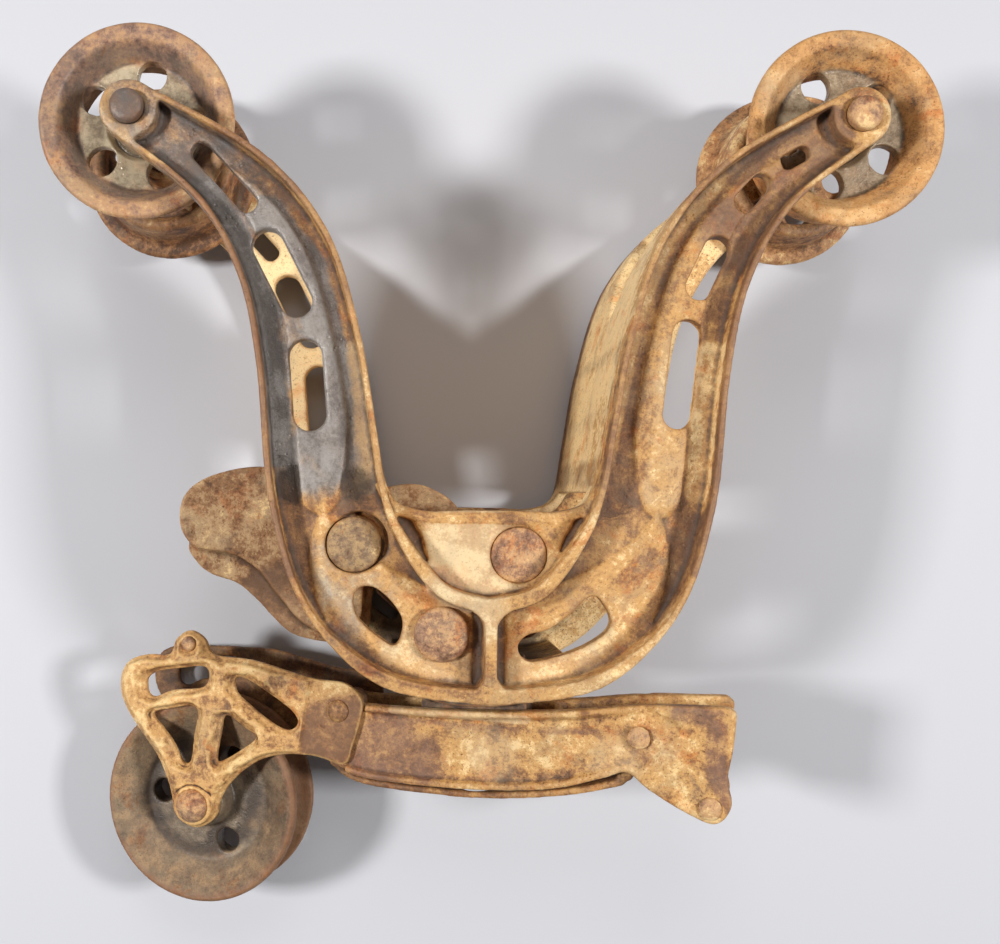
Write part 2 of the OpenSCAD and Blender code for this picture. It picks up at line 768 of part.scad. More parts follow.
// grooved sheave with dished, drilled sides
module rope_sheave() {
    half = min(sheave_w / 2, cheek_out - end_gap);
    rim_r = sheave_d / 2;
    groove_r = rim_r - 15;
    dish_r = rim_r - 5;
    floor_r = dish_r - 17;
    hole_at = (rim_r - 3) / 2;
    axle = sheave_axle_d / 2;
    web_half = 6;
    color(iron) leaned() translate([hub_at.x, hub_at.y, 0]) difference() {
        rotate_extrude() difference() {
            polygon([[axle + run_gap, -half], [axle + 7, -half], [axle + 9, -web_half],
                     [floor_r, -web_half], [dish_r, 1 - half], [rim_r - 2, -half],
                     [rim_r, 2 - half], [rim_r, half - 2], [rim_r - 2, half],
                     [dish_r, half - 1], [floor_r, web_half], [axle + 9, web_half],
                     [axle + 7, half], [axle + run_gap, half]]);
            translate([groove_r + 12, 0]) circle(12);
            polygon([[groove_r + 12, -12], [rim_r + 1, 6 - half], [rim_r + 1, half - 6],
                     [groove_r + 12, 12]]);
        }
        for (k = [0:2]) rotate(57 + 120 * k)
            translate([hole_at, 0, -web_half - 1]) cylinder(r = 7, h = 2 * web_half + 2);
    }
}

near_side_frame();
far_side_frame();
catch_pin();
hook_pin();
trip_pin();
axle_studs();
axle_washers();
wheel_near_left();
wheel_near_right();
wheel_far_left();
wheel_far_right();
stop_catch();
trip_lever();
pulley_hook();
swivel_stem();
near_cheek();
far_cheek();
mouth_guide();
cheek_rivet();
becket_pin();
near_bracket();
far_bracket();
bracket_bolt();
lug_rivet();
sheave_axle();
rope_sheave();
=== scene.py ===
import json
import math

import bmesh
import bpy
import numpy as np
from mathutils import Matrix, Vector, kdtree, noise

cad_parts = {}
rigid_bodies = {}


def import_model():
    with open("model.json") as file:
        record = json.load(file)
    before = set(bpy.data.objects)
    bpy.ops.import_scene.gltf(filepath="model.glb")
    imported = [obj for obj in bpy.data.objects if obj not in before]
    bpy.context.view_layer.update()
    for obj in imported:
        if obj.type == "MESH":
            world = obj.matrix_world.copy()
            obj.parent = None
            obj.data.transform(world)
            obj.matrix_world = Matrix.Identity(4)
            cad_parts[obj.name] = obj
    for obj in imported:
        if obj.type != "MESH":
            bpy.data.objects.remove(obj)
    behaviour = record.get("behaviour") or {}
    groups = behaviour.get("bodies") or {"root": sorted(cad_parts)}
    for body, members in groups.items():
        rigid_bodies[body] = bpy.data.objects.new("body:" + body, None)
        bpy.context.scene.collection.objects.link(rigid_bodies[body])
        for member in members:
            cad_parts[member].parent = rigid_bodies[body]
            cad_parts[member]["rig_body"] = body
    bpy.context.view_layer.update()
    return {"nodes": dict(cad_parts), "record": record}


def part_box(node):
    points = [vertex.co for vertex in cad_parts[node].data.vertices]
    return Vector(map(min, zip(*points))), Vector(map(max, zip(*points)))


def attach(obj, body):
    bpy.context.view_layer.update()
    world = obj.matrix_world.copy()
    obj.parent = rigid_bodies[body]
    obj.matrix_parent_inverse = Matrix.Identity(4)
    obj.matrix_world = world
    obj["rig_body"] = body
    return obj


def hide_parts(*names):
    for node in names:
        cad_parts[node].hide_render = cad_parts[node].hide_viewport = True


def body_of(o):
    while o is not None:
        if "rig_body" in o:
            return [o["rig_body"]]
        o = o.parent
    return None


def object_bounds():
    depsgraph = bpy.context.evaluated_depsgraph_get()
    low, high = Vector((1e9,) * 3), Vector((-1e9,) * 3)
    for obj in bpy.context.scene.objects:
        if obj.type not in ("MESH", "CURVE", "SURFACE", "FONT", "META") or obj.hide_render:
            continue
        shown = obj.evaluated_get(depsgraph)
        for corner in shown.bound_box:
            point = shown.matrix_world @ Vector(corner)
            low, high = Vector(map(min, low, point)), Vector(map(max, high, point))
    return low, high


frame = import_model()
scene = bpy.context.scene
nodes = frame["nodes"]
slot_of = {part["node"]: part["material_slot"] for part in frame["record"]["subparts"]}
MM = 0.001


# Camera: straight above the trolley as it lies, with the picture cut off-centre

def place_camera():
    data = bpy.data.cameras.new("camera")
    data.sensor_width = 36.0
    data.lens = 41.4
    data.shift_x = 0.115
    data.shift_y = 0.023
    data.clip_start = 0.01
    eye = bpy.data.objects.new("camera", data)
    eye.location = (-54.2 * MM, -154.3 * MM, 659 * MM)
    eye.rotation_euler = (0.0, 0.0, math.radians(0.6))
    scene.collection.objects.link(eye)
    scene.camera = eye


def area_lamp(name, place, size, power, aim=(0.0, -0.1, 0.0)):
    data = bpy.data.lights.new(name, "AREA")
    data.shape = "SQUARE"
    data.size = size
    data.energy = power
    lamp = bpy.data.objects.new(name, data)
    lamp.location = place
    lamp.rotation_euler = (Vector(aim) - Vector(place)).to_track_quat("-Z", "Y").to_euler()
    scene.collection.objects.link(lamp)


def light_studio():
    scene.view_settings.view_transform = "Standard"
    world = bpy.data.worlds.new("studio")
    world.use_nodes = True
    world.node_tree.nodes["Background"].inputs["Color"].default_value = (0.92, 0.95, 1.0, 1.0)
    world.node_tree.nodes["Background"].inputs["Strength"].default_value = 0.13
    scene.world = world
    area_lamp("left_lamp", (-1.15, -0.12, 1.25), 0.24, 22.5)
    area_lamp("right_lamp", (1.15, -0.12, 1.25), 0.24, 20.0)
    area_lamp("top_lamp", (-0.1, 1.0, 1.4), 0.8, 5.0)


# Wiring of shader nodes

class Wiring:
    """Adds nodes to one tree and joins them up."""

    def __init__(self, tree):
        self.tree = tree

    def add(self, kind, inputs=None, **settings):
        node = self.tree.nodes.new(kind)
        for key, value in settings.items():
            setattr(node, key, value)
        for key, value in (inputs or {}).items():
            self.feed(node.inputs[key], value)
        return node

    def feed(self, socket, value):
        if isinstance(value, bpy.types.NodeSocket):
            self.tree.links.new(value, socket)
        else:
            socket.default_value = value

    def math(self, how, a, b=0.0, clamp=False):
        return self.add("ShaderNodeMath", {0: a, 1: b}, operation=how, use_clamp=clamp).outputs[0]

    def plus(self, a, b):
        return self.math("ADD", a, b)

    def times(self, a, b):
        return self.math("MULTIPLY", a, b)

    def swing(self, cloud, size):
        """A cloud's swing to both sides of its middle."""
        return self.times(self.math("SUBTRACT", cloud, 0.5), size)

    def span(self, value, low, high):
        sockets = {"Value": value, "From Min": low, "From Max": high}
        return self.add("ShaderNodeMapRange", sockets, interpolation_type="SMOOTHSTEP").outputs[0]

    def mix(self, share, a, b, how="MIX"):
        node = self.add("ShaderNodeMix", {0: share, 6: a, 7: b}, data_type="RGBA", blend_type=how)
        return node.outputs[2]

    def here(self):
        return self.add("ShaderNodeTexCoord").outputs["Object"]

    def cloud(self, where, scale, detail=3.0, rough=0.55, twist=0.0):
        sockets = {"Vector": where, "Scale": scale, "Detail": detail, "Roughness": rough, "Distortion": twist}
        return self.add("ShaderNodeTexNoise", sockets).outputs[0]

    def mark(self, name):
        return self.add("ShaderNodeAttribute", attribute_name=name).outputs["Fac"]


def new_group(name, inputs, outputs):
    """An empty node group. inputs is {name: start value}, a number or a colour."""
    tree = bpy.data.node_groups.new(name, "ShaderNodeTree")
    for key, value in inputs.items():
        kind = "NodeSocketColor" if isinstance(value, tuple) else "NodeSocketFloat"
        tree.interface.new_socket(name=key, in_out="INPUT", socket_type=kind).default_value = value
    for key, kind in outputs.items():
        tree.interface.new_socket(name=key, in_out="OUTPUT", socket_type=kind)
    wire = Wiring(tree)
    return tree, wire, wire.add("NodeGroupInput").outputs, wire.add("NodeGroupOutput").inputs


def rgb(r, g, b):
    """A colour given as it shows on a screen, 0 to 255."""
    def line(v):
        v /= 255.0
        return v / 12.92 if v <= 0.04045 else ((v + 0.055) / 1.055) ** 2.4
    return (line(r), line(g), line(b), 1.0)


def rust_bloom():
    """Rust in blotches, from umber through brown and gold to pale dust. Shift moves the whole range."""
    tree, wire, given, out = new_group(
        "rust bloom",
        {
            "Umber": rgb(88, 62, 46), "Brown": rgb(150, 108, 72), "Gold": rgb(204, 156, 98),
            "Dust": rgb(240, 208, 156), "Share": 0.6, "Shift": 0.0, "Spread": 1.0, "Speck": 0.5,
        },
        {"Color": "NodeSocketColor", "Level": "NodeSocketFloat"},
    )
    where = wire.here()
    along_runs = wire.add("ShaderNodeAttribute", attribute_name="flow").outputs["Vector"]
    level = wire.swing(wire.cloud(where, 24.0, 4.0, 0.6, 0.8), 1.5)
    level = wire.plus(level, wire.swing(wire.cloud(where, 105.0, 5.0, 0.66, 0.3), 0.9))
    level = wire.plus(level, wire.swing(wire.cloud(where, 500.0, 6.0, 0.78), 1.2))
    level = wire.plus(level, wire.swing(wire.cloud(along_runs, 150.0, 3.0, 0.6), 1.0))
    level = wire.times(level, given["Spread"])
    level = wire.plus(level, wire.plus(given["Share"], given["Shift"]))
    color = wire.mix(wire.span(level, 0.0, 0.36), given["Umber"], given["Brown"])
    color = wire.mix(wire.span(level, 0.30, 0.70), color, given["Gold"])
    color = wire.mix(wire.span(level, 0.74, 1.12), color, given["Dust"])
    olive = wire.span(wire.cloud(where, 38.0, 5.0, 0.68, 0.6), 0.50, 0.64)
    color = wire.mix(wire.times(olive, 0.5), color, wire.mix(0.5, color, rgb(150, 138, 112)))
    orange = wire.span(wire.cloud(where, 52.0, 6.0, 0.72, 0.5), 0.53, 0.66)
    color = wire.mix(wire.times(orange, 0.6), color, rgb(236, 172, 106), "MULTIPLY")
    fleck = wire.times(wire.span(wire.cloud(where, 900.0, 3.0, 0.7), 0.57, 0.68), given["Speck"])
    color = wire.mix(fleck, color, rgb(112, 74, 48), "MULTIPLY")
    wire.feed(out["Color"], color)
    wire.feed(out["Level"], level)
    return tree


def cast_skin():
    """The height of a sand-cast, rusted skin: low lumps, grit and scattered pits."""
    tree, wire, given, out = new_group("cast skin", {"Grit": 0.5, "Pits": 0.5}, {"Height": "NodeSocketFloat"})
    where = wire.here()
    lumps = wire.cloud(where, 210.0, 3.0, 0.6)
    grit = wire.cloud(where, 900.0, 4.0, 0.7)
    cells = wire.add("ShaderNodeTexVoronoi", {"Vector": where, "Scale": 330.0}).outputs["Distance"]
    pitted = wire.span(wire.cloud(where, 60.0, 2.0), 0.48, 0.62)
    pits = wire.times(wire.span(cells, 0.34, 0.10), wire.times(pitted, given["Pits"]))
    height = wire.plus(wire.times(lumps, 0.6), wire.times(grit, given["Grit"]))
    wire.feed(out["Height"], wire.math("SUBTRACT", height, pits))
    return tree


def worn_edge_and_highlight():
    """How far the rust is worn along the edges, and how much they are lightened as a painted highlight."""
    tree, wire, given, out = new_group("worn edge", {"Amount": 0.6}, {"Mask": "NodeSocketFloat"})
    where = wire.here()
    edge = wire.plus(wire.mark("edge"), wire.swing(wire.cloud(where, 260.0, 4.0, 0.7), 1.1))
    wire.feed(out["Mask"], wire.times(wire.span(edge, 0.22, 0.85), given["Amount"]))
    return tree


def crevice_dirt_and_shade():
    """Grime and painted shade: darker where two faces meet and in the bottom of recesses."""
    tree, wire, given, out = new_group(
        "crevice dirt", {"Amount": 0.7}, {"Mask": "NodeSocketFloat", "Line": "NodeSocketFloat"}
    )
    where = wire.here()
    ragged = wire.cloud(where, 200.0, 4.0, 0.65)
    wide = wire.plus(wire.mark("hollow"), wire.swing(ragged, 0.6))
    line = wire.plus(wire.mark("crease"), wire.swing(ragged, 0.8))
    wire.feed(out["Mask"], wire.times(wire.span(wide, 0.10, 0.95), given["Amount"]))
    wire.feed(out["Line"], wire.times(wire.span(line, 0.35, 0.95), given["Amount"]))
    return tree


def weathered_mark():
    """A painted mark on the mesh, broken up so that its border looks weathered."""
    tree, wire, given, out = new_group("weathered mark", {"Mark": 0.0}, {"Mask": "NodeSocketFloat"})
    where = wire.here()
    ragged = wire.swing(wire.cloud(where, 75.0, 5.0, 0.68, 0.4), 1.1)
    some = wire.span(given["Mark"], 0.0, 0.12)
    level = wire.plus(given["Mark"], wire.times(ragged, some))
    wire.feed(out["Mask"], wire.span(level, 0.14, 0.86))
    return tree


GROUPS = {
    "bloom": rust_bloom(),
    "skin": cast_skin(),
    "edge": worn_edge_and_highlight(),
    "dirt_and_shade": crevice_dirt_and_shade(),
    "mark": weathered_mark(),
}
MARKS = ("bare", "pale", "deep", "soot", "gilt")


def rusty_iron(
    name,
    umber=rgb(102, 70, 46),
    brown=rgb(150, 106, 66),
    gold=rgb(204, 156, 94),
    dust=rgb(240, 204, 144),
    pale=rgb(214, 190, 152),
    share=0.6,
    spread=1.0,
    speck=0.5,
    bare=rgb(140, 140, 142),
    bare_dark=rgb(96, 92, 88),
    deep=rgb(124, 93, 72),
    shade_and_soil=rgb(52, 40, 32),
    rubbed_and_highlight=rgb(158, 108, 66),
    wear_and_highlight=0.6,
    dirt_and_shade=0.8,
    hollows=0.38,
    grit=0.5,
    pits=0.5,
    dull=0.66,
    gloss=0.30,
    sheen=0.2,
):
    """Rusted cast iron: bloom, worn edges lightened also as a painted highlight, grime and painted shade in
    creases and recesses, and marks for bare, pale, deep, shaded and gold places; the shaded marks are painted
    shade, and some pale and gold marks are painted light.

    share is how far the rust runs to gold, spread is how much it varies, and hollows is how much it
    darkens in recesses, as grime and painted shade."""
    material = bpy.data.materials.new(name)
    material.use_nodes = True
    wire = Wiring(material.node_tree)
    shader = material.node_tree.nodes["Principled BSDF"]

    def place(key, **values):
        node = wire.add("ShaderNodeGroup", node_tree=GROUPS[key])
        for label, value in values.items():
            wire.feed(node.inputs[label], value)
        return node.outputs

    edges = place("edge", Amount=wear_and_highlight)["Mask"]
    dirt_and_shade_masks = place("dirt_and_shade", Amount=dirt_and_shade)
    stripped, pale_and_lit, stained, painted_shade_mask, gilt = [place("mark", Mark=wire.mark(mark))["Mask"] for mark in MARKS]
    # The level shifts to gold on edges, for wear and as a painted highlight; pale and gold marks raise it, in
    # places as painted light; recesses lower it, as grime and painted shade.
    shift = wire.times(edges, 0.2)
    for mask, amount in ((pale_and_lit, 0.30), (gilt, 0.5), (stained, -0.42), (dirt_and_shade_masks["Mask"], -hollows)):
        shift = wire.plus(shift, wire.times(mask, amount))
    bloom = place(
        "bloom", Umber=umber, Brown=brown, Gold=gold, Dust=dust,
        Share=share, Shift=shift, Spread=spread, Speck=speck,
    )
    iron = wire.mix(wire.span(bloom["Level"], 0.15, 0.95), bare_dark, bare)
    color = bloom["Color"]
    # Colours over the bloom: pale, for dust and in places painted light; deep stains; worn edges, which also
    # carry a painted highlight; bare iron; the shaded marks, painted shade; and crease lines, grime and
    # painted shade.
    layers = (
        (pale_and_lit, 0.45, pale), (stained, 0.55, deep), (edges, 0.55, rubbed_and_highlight),
        (stripped, 0.88, iron), (painted_shade_mask, 0.85, shade_and_soil), (dirt_and_shade_masks["Line"], 0.85, shade_and_soil),
    )
    for mask, amount, tone in layers:
        color = wire.mix(wire.times(mask, amount), color, tone)
    wire.feed(shader.inputs["Base Color"], color)
    smooth = wire.times(wire.math("MAXIMUM", stripped, wire.times(stained, sheen)), gloss)
    smooth = wire.plus(smooth, wire.times(edges, 0.2))
    wire.feed(shader.inputs["Roughness"], wire.math("SUBTRACT", dull, smooth, clamp=True))
    wire.feed(shader.inputs["Metallic"], wire.times(stripped, 0.12))
    height = place("skin", Grit=grit, Pits=pits)["Height"]
    bump = wire.add("ShaderNodeBump", {"Height": height, "Strength": 0.75, "Distance": 0.0006})
    wire.feed(shader.inputs["Normal"], bump.outputs["Normal"])
    shader.inputs["Specular IOR Level"].default_value = 0.45
    return material


# Meshes: each solid is copied, given the soft edges and skin of a casting, and marked for its finish and for
# its painted light and shade

def arrays_of(mesh):
    co = np.empty(len(mesh.vertices) * 3, np.float32)
    mesh.vertices.foreach_get("co", co)
    ends = np.empty(len(mesh.edges) * 2, np.int32)
    mesh.edges.foreach_get("vertices", ends)
    return co.reshape(-1, 3).astype(float), ends.reshape(-1, 2)


def relaxed(co, ends, times, factor=0.5):
    """Each point moves part of the way to the middle of its neighbours. factor may be one per point."""
    a, b = ends.T
    count = len(co)
    degree = np.maximum(np.bincount(a, minlength=count) + np.bincount(b, minlength=count), 1)
    for _ in range(times):
        total = np.stack(
            [np.bincount(a, co[b, k], count) + np.bincount(b, co[a, k], count) for k in range(3)], axis=1
        )
        co = co + factor * (total / degree[:, None] - co)
    return co


def move_to(mesh, co):
    mesh.vertices.foreach_set("co", co.astype(np.float32).ravel())
    mesh.update()


def normals_of(mesh):
    found = np.empty(len(mesh.vertices) * 3, np.float32)
    mesh.vertex_normals.foreach_get("vector", found)
    return found.reshape(-1, 3).astype(float)


def store(mesh, name, values):
    layer = mesh.attributes.new(name, "FLOAT", "POINT")
    layer.data.foreach_set("value", np.clip(values, 0.0, 1.0).astype(np.float32))


def store_points(mesh, name, points):
    layer = mesh.attributes.new(name, "FLOAT_VECTOR", "POINT")
    layer.data.foreach_set("vector", points.astype(np.float32).ravel())


def settle(obj):
    """Applies the object's modifiers to its mesh."""
    bpy.context.view_layer.update()
    seen = obj.evaluated_get(bpy.context.evaluated_depsgraph_get())
    mesh = bpy.data.meshes.new_from_object(seen)
    old = obj.data
    obj.modifiers.clear()
    obj.data = mesh
    bpy.data.meshes.remove(old)


def lumps(co, size, depth):
    rise = [noise.fractal(Vector(p) / size, 1.0, 2.0, 2) for p in co]
    return depth * np.array(rise)


# Marks: where a finish changes over a piece and where light and shade are painted on it, in millimetres seen
# from the front, between two heights

ANY_HEIGHT = 999.0
HEIGHT_BLEND = 0.8
STREAK_STRETCH = 0.12


def between(value, low, high, blend):
    """One between two values, nothing outside them, with a short blend at both ends."""
    return np.clip((value - low) / blend + 0.5, 0.0, 1.0) * np.clip((high - value) / blend + 0.5, 0.0, 1.0)


def within(z, low, high):
    return between(z, low, high, HEIGHT_BLEND)


def nearest(co, points):
    """Distance to a run of points, with a sign for its side, and the length along it to the nearest place."""
    best = np.full(len(co), np.inf)
    along = np.zeros(len(co))
    start = 0.0
    for (ax, ay), (bx, by) in zip(points, points[1:]):
        ux, uy = bx - ax, by - ay
        length = math.hypot(ux, uy)
        t = np.clip(((co[:, 0] - ax) * ux + (co[:, 1] - ay) * uy) / length ** 2, 0.0, 1.0)
        side = np.sign((co[:, 0] - ax) * uy - (co[:, 1] - ay) * ux)
        d = np.hypot(co[:, 0] - ax - t * ux, co[:, 1] - ay - t * uy)
        closer = d < np.abs(best)
        best = np.where(closer, d * np.where(side < 0, -1.0, 1.0), best)
        along = np.where(closer, start + t * length, along)
        start += length
    return best, along


def spot(x, y, reach, amount=1.0, low=-ANY_HEIGHT, high=ANY_HEIGHT):
    """A round mark that fades towards its border."""
    def found(co):
        d = np.hypot(co[:, 0] - x, co[:, 1] - y) / reach
        return amount * np.clip(1.5 - 1.5 * d * d, 0.0, 1.0) * within(co[:, 2], low, high)
    return found


def stripe(points, reach, amount=1.0, low=-ANY_HEIGHT, high=ANY_HEIGHT):
    """A mark along a run of points."""
    def found(co):
        d = nearest(co, points)[0] / reach
        return amount * np.clip(1.6 - 1.6 * d * d, 0.0, 1.0) * within(co[:, 2], low, high)
    return found


def field(amount, low=-ANY_HEIGHT, high=ANY_HEIGHT):
    """A mark on everything between two heights."""
    def found(co):
        return amount * within(co[:, 2], low, high)
    return found


def ring(x, y, inner, outer, amount=1.0, soft=3.0):
    """A mark between two radii."""
    def found(co):
        return amount * between(np.hypot(co[:, 0] - x, co[:, 1] - y), inner, outer, soft)
    return found


def marked(co, shapes):
    found = np.zeros(len(co))
    for shape in shapes:
        found = np.maximum(found, shape(co / MM))
    return found


def flow_along(co, way, runs):
    """Places for streaks on the open faces: short across a run of points and long along it."""
    flow = co.copy()
    best = np.full(len(co), np.inf)
    for run in runs:
        across, along = nearest(co / MM, run)
        closer = (np.abs(across) < best) & (np.abs(way[:, 2]) > 0.5)
        best = np.where(closer, np.abs(across), best)
        flow[closer] = np.stack([across, along * STREAK_STRETCH, co[:, 2] / MM], axis=1)[closer] * MM
    return flow


# Castings: how a piece is rounded, and how its edges and hollows are found

FILLET_LOW, FILLET_HIGH = 63.0, 77.0
RIDGE_SOFTEN = 5
RIDGE_FADE = 8.0
LUMP_SIZE = 14 * MM
EDGE_STEPS, EDGE_FULL = 10, 0.42
HOLLOW_STEPS, HOLLOW_FULL = 70, 1.5


def ridged(co, way, lean, height, shoulder, rise, stop):
    """Raises the middle of the bars on the face that looks out, left of stop, between two low shoulders."""
    out = np.array([-math.sin(lean), 0.0, math.cos(lean)])
    facing = way @ out
    sides = np.flatnonzero(np.abs(facing) < 0.5)
    tree = kdtree.KDTree(len(sides))
    for index in sides:
        tree.insert(co[index], int(index))
    tree.balance()
    away = np.zeros(len(co))
    for index in np.flatnonzero(facing > 0.8):
        away[index] = tree.find(co[index])[2] / MM
    t = np.clip((away - shoulder) / rise, 0.0, 1.0)
    fade = np.clip((stop - co[:, 0] / MM) / RIDGE_FADE, 0.0, 1.0)
    return co + out * (height * MM * t * t * (3.0 - 2.0 * t) * fade)[:, None]


def rolled(co, ends, x, y, inner, outer, times):
    """Rounds a piece over between two radii, as the flange of a wheel rolls into its dish."""
    return relaxed(co, ends, times, 0.5 * ring(x, y, inner, outer)(co / MM)[:, None])


def spread_web(co, x, y, wider, lift):
    """Widens the flat web of a near wheel and brings it out towards the flange."""
    hub, hub_blend = 15.0, 3.0
    flange, slope = 45.0, 13.0
    back, depth = 22.0, 7.0
    p = co / MM
    dx, dy = p[:, 0] - x, p[:, 1] - y
    r = np.maximum(np.hypot(dx, dy), 1e-6)
    rise = np.clip((r - hub) / hub_blend, 0.0, 1.0) * np.clip((flange - r) / slope, 0.0, 1.0)
    swell = np.interp(r, [16.0, 31.0, 36.0, 48.0], [0.0, 1.0, 0.9, 0.0])
    moved = p.copy()
    moved[:, 0] += dx / r * wider * swell
    moved[:, 1] += dy / r * wider * swell
    moved[:, 2] += lift * rise * np.clip((p[:, 2] - back) / depth, 0.0, 1.0)
    return moved * MM


def skinned(node, voxel):
    """A copy of a node's solid with an even skin of small faces."""
    mesh = nodes[node].data.copy()
    mesh.materials.clear()
    obj = bpy.data.objects.new(node + "_iron", mesh)
    scene.collection.objects.link(obj)
    work = bmesh.new()
    work.from_mesh(mesh)
    bmesh.ops.remove_doubles(work, verts=work.verts, dist=1e-6)
    work.to_mesh(mesh)
    work.free()
    remesh = obj.modifiers.new("remesh", "REMESH")
    remesh.mode = "VOXEL"
    remesh.voxel_size = voxel * MM
    settle(obj)
    return obj


def mark_finish(mesh, co, way, ends, voxel, marks, runs):
    """Stores where the edges, creases and hollows of a mesh are, its streaks, and the marks given for it."""
    near = ((co - relaxed(co, ends, EDGE_STEPS)) * way).sum(1) / (voxel * MM)
    wide = ((co - relaxed(co, ends, HOLLOW_STEPS)) * way).sum(1) / (voxel * MM)
    store(mesh, "edge", near / EDGE_FULL)
    store(mesh, "crease", -near / EDGE_FULL)
    store(mesh, "hollow", -wide / HOLLOW_FULL)
    store_points(mesh, "flow", flow_along(co, way, runs))
    for name in MARKS:
        store(mesh, name, marked(co, marks.get(name, ())))


def casting(
    node, material, marks, runs, voxel, soften=5, fillet=0, web=None, roll=None, ridge=None,
    lump=0.12, keep=0.4,
):
    """A piece that stands for a node, with the rounded edges and uneven skin of cast iron.

    fillet is how far the low relief of the side castings, below their rims, is rounded over.
    lump is the depth of the unevenness, and keep the share of the faces that stay."""
    obj = skinned(node, voxel)
    mesh = obj.data
    co, ends = arrays_of(mesh)
    co = relaxed(co, ends, soften)
    if fillet:
        relief = within(np.abs(co[:, 2]) / MM, FILLET_LOW, FILLET_HIGH)
        co = relaxed(co, ends, fillet, 0.5 * relief[:, None])
    if web:
        co = spread_web(co, *web)
    if roll:
        co = rolled(co, ends, *roll)
    move_to(mesh, co)
    if ridge:
        co = relaxed(ridged(co, normals_of(mesh), *ridge), ends, RIDGE_SOFTEN)
        move_to(mesh, co)
    way = normals_of(mesh)
    mark_finish(mesh, co, way, ends, voxel, marks, runs)
    move_to(mesh, co + way * (lumps(co, LUMP_SIZE, lump * MM) - lump * MM * 0.5)[:, None])
    thin = obj.modifiers.new("thin", "DECIMATE")
    thin.ratio = keep
    settle(obj)
    obj.data.polygons.foreach_set("use_smooth", np.ones(len(obj.data.polygons), bool))
    obj.data.materials.append(material)
    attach(obj, body_of(nodes[node])[0])
    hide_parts(node)


def lay_floor():
    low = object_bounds()[0][2]
    mesh = bpy.data.meshes.new("floor")
    reach = 6.0
    corners = [(-reach, -reach, low), (reach, -reach, low), (reach, reach, low), (-reach, reach, low)]
    mesh.from_pydata(corners, [], [(0, 1, 2, 3)])
    floor = bpy.data.objects.new("floor", mesh)
    scene.collection.objects.link(floor)
    material = bpy.data.materials.new("pale floor")
    material.use_nodes = True
    shader = material.node_tree.nodes["Principled BSDF"]
    shader.inputs["Base Color"].default_value = rgb(204, 204, 208)
    shader.inputs["Roughness"].default_value = 0.9
    mesh.materials.append(material)


place_camera()
light_studio()

# Places on the trolley, in millimetres seen from the front

LEFT_ARM = [(-164, 32), (-132, 0), (-114, -40), (-100, -90), (-92, -134)]
LEFT_TROUGH = [(-150, 2), (-130, -28), (-120, -62), (-115, -95), (-109, -132)]
RIGHT_TROUGH = [(-118, -10), (-96, -38), (-86, -75), (-82, -105), (-81, -130)]
LEFT_RIM = [
    (-205, 33), (-181, 11), (-150, -7), (-138, -24), (-129, -44), (-121, -77),
    (-117, -127), (-114, -157), (-104, -190),
]
RIGHT_RIM = [(-x, y) for x, y in LEFT_RIM]
BOTTOM_RIM = [(-104, -190), (-86, -222), (-54, -247), (0, -257), (54, -247), (86, -222), (104, -190)]
LEFT_INNER_RIM = [(-170, 56), (-140, 38), (-112, 12), (-92, -20), (-78, -55)]
RIGHT_INNER_RIM = [(-x, y) for x, y in LEFT_INNER_RIM] + [(66, -100), (58, -145)]
LEFT_FLANK = [(-74, -80), (-68, -112), (-64, -150)]
LEFT_FLANGE = [(-222, 76), (-236, 50), (-234, 28)]
RIGHT_ARM = [(164, 32), (132, 0), (114, -40), (101, -90), (92, -140)]
RIGHT_WALL = [(120, 20), (85, -20), (68, -70), (59, -120), (52, -152)]
ROUND_BODY = [(-104, -150), (-96, -195), (-62, -236), (0, -252), (62, -236), (96, -195), (104, -150)]
WHEEL_X, WHEEL_Y = 187.5, 42.0
SHEAVE_X, SHEAVE_Y = -163.5, -337.5
SHEAVE_HOLE_AT = 27.0
SHEAVE_HOLE_TURNS = (57, 177, 297)
SWIVEL_LEAN = math.radians(15.0)

# Heights from the middle plane: lowest and highest, or lowest alone

ON_WEB = (50, 74)
ON_PANEL = (66, 70)
ON_RIM = 73.5
NEAR_WALL = (-70, 66)
FAR_WALL = (-70, 60)
FAR_INSIDE = (-66, 0)
BEHIND_WINDOWS = (-68, 0)

# Finishes: one iron for each kind of piece

near_iron = rusty_iron(
    "near casting iron", dust=rgb(248, 214, 156), pale=rgb(198, 180, 150), bare=rgb(137, 136, 136),
    share=0.66, spread=1.15, grit=0.7, pits=0.8,
)
# The far casting's pale colour is lighter as painted light, for its inner faces seen through the slots, which
# lie in shade.
far_iron = rusty_iron(
    "far casting iron", gold=rgb(214, 168, 106), dust=rgb(252, 218, 158), pale=rgb(248, 222, 176),
    share=0.82, spread=1.6, speck=0.9,
)
left_wheel_iron = rusty_iron(
    "left wheel iron", umber=rgb(92, 70, 62), brown=rgb(146, 112, 92), gold=rgb(186, 144, 104),
    dust=rgb(222, 184, 134), bare=rgb(190, 176, 148), bare_dark=rgb(126, 112, 90), deep=rgb(122, 106, 94),
    share=0.6, spread=1.1, speck=0.3, wear_and_highlight=0.3, gloss=0.46, sheen=0.9, grit=0.3, pits=0.3,
)
right_wheel_iron = rusty_iron(
    "right wheel iron", brown=rgb(174, 124, 74), gold=rgb(208, 154, 94), dust=rgb(226, 180, 122),
    bare=rgb(166, 150, 126), bare_dark=rgb(112, 96, 74), share=0.62, spread=1.3, speck=0.7, wear_and_highlight=0.3,
)
far_wheel_iron = rusty_iron(
    "far wheel iron", umber=rgb(80, 54, 38), brown=rgb(140, 98, 64), gold=rgb(190, 140, 92),
    deep=rgb(104, 72, 46), share=0.55, spread=1.5,
)
